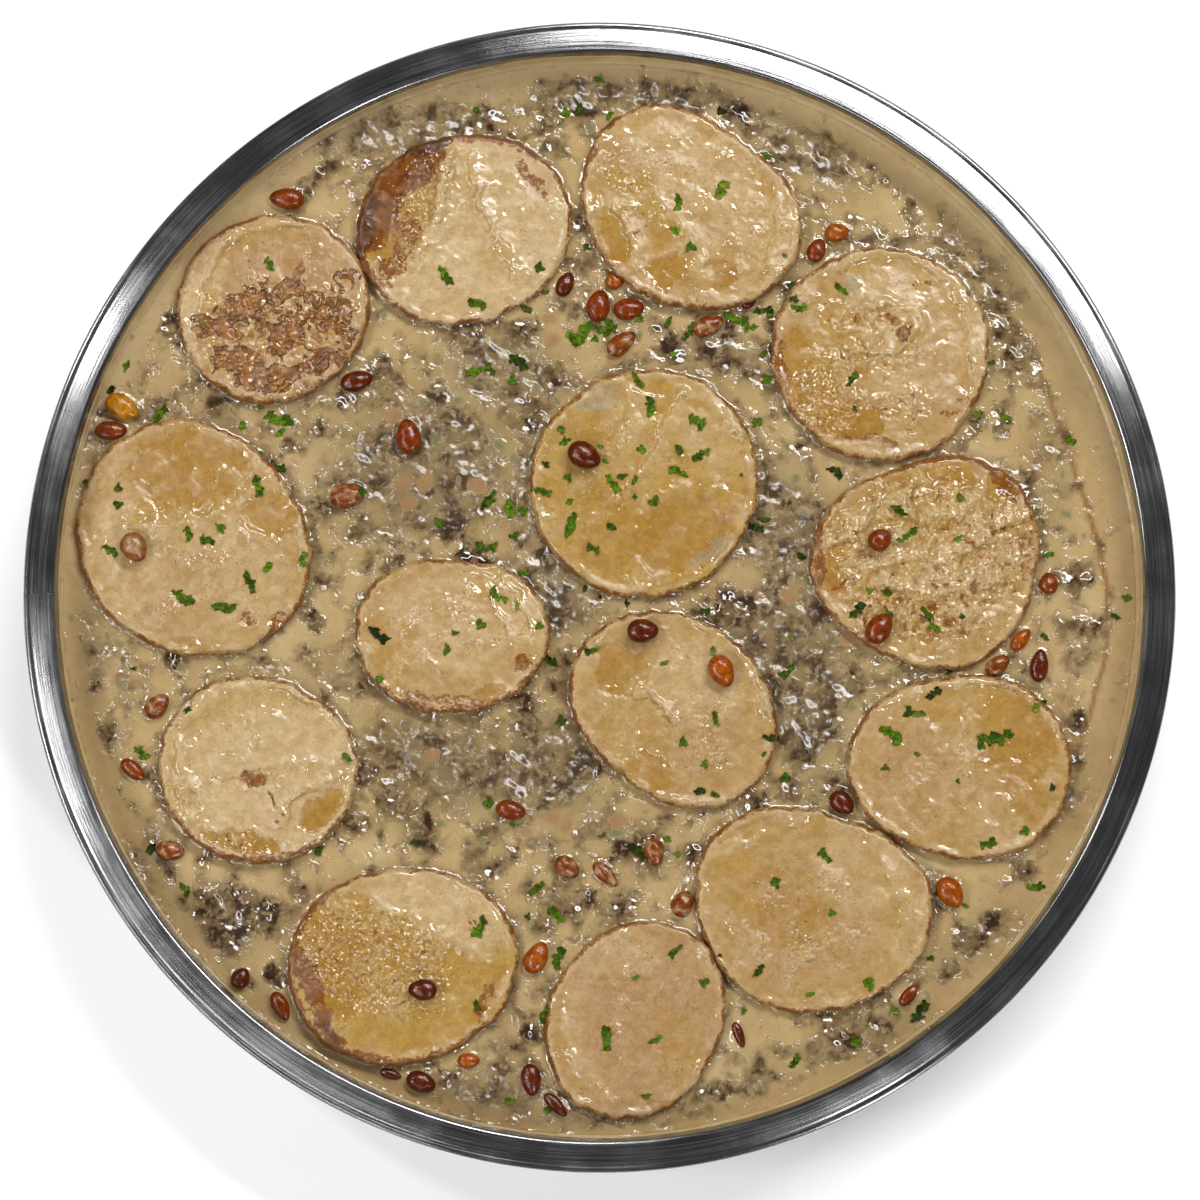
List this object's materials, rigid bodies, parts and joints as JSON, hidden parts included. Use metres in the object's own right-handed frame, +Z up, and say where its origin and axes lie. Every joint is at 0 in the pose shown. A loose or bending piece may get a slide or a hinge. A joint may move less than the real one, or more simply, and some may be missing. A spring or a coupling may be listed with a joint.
{
  "type": "kofta with tahini in a round tray",
  "caption": "Round steel tray of baked minced meat under tahini sauce, topped with fried potato slices, roasted pine nuts and chopped parsley; it stands on its flat base.",
  "frame": {"origin": "centre of the tray's underside, on the surface it stands on", "axes": "+Z up out of the tray; +X to the right and +Y to the top of the picture"},
  "size_m": [0.34, 0.34, 0.045],
  "materials": {
    "steel": "brushed round the rim, bright",
    "kofta": "coarse minced meat, dark brown, wet with sauce",
    "sauce": "smooth wet tahini sauce, tan, thin enough over the meat to let it darken",
    "potato": "fried slice, tan to golden brown, coated with sauce",
    "pine_nut": "roasted, red-brown, oily",
    "parsley": "fresh chopped leaf, green"
  },
  "bodies": {
    "root": {"tray": "steel", "kofta": "kofta", "sauce": "sauce", "potato_01": "potato", "potato_02": "potato", "potato_03": "potato", "potato_04": "potato", "potato_05": "potato", "potato_06": "potato", "potato_07": "potato", "potato_08": "potato", "potato_09": "potato", "potato_10": "potato", "potato_11": "potato", "potato_12": "potato", "potato_13": "potato", "potato_14": "potato", "pine_nut_01": "pine_nut", "pine_nut_02": "pine_nut", "pine_nut_03": "pine_nut", "pine_nut_04": "pine_nut", "pine_nut_05": "pine_nut", "pine_nut_06": "pine_nut", "pine_nut_07": "pine_nut", "pine_nut_08": "pine_nut", "pine_nut_09": "pine_nut", "pine_nut_10": "pine_nut", "pine_nut_11": "pine_nut", "pine_nut_12": "pine_nut", "pine_nut_13": "pine_nut", "pine_nut_14": "pine_nut", "pine_nut_15": "pine_nut", "pine_nut_16": "pine_nut", "pine_nut_17": "pine_nut", "pine_nut_18": "pine_nut", "pine_nut_19": "pine_nut", "pine_nut_20": "pine_nut", "pine_nut_21": "pine_nut", "pine_nut_22": "pine_nut", "pine_nut_23": "pine_nut", "pine_nut_24": "pine_nut", "pine_nut_25": "pine_nut", "pine_nut_26": "pine_nut", "pine_nut_27": "pine_nut", "pine_nut_28": "pine_nut", "pine_nut_29": "pine_nut", "pine_nut_30": "pine_nut", "pine_nut_31": "pine_nut", "pine_nut_32": "pine_nut", "pine_nut_33": "pine_nut", "pine_nut_34": "pine_nut", "pine_nut_35": "pine_nut", "pine_nut_36": "pine_nut", "pine_nut_37": "pine_nut", "pine_nut_38": "pine_nut", "pine_nut_39": "pine_nut", "pine_nut_40": "pine_nut", "pine_nut_41": "pine_nut", "pine_nut_42": "pine_nut"}
  },
  "joints": []
}
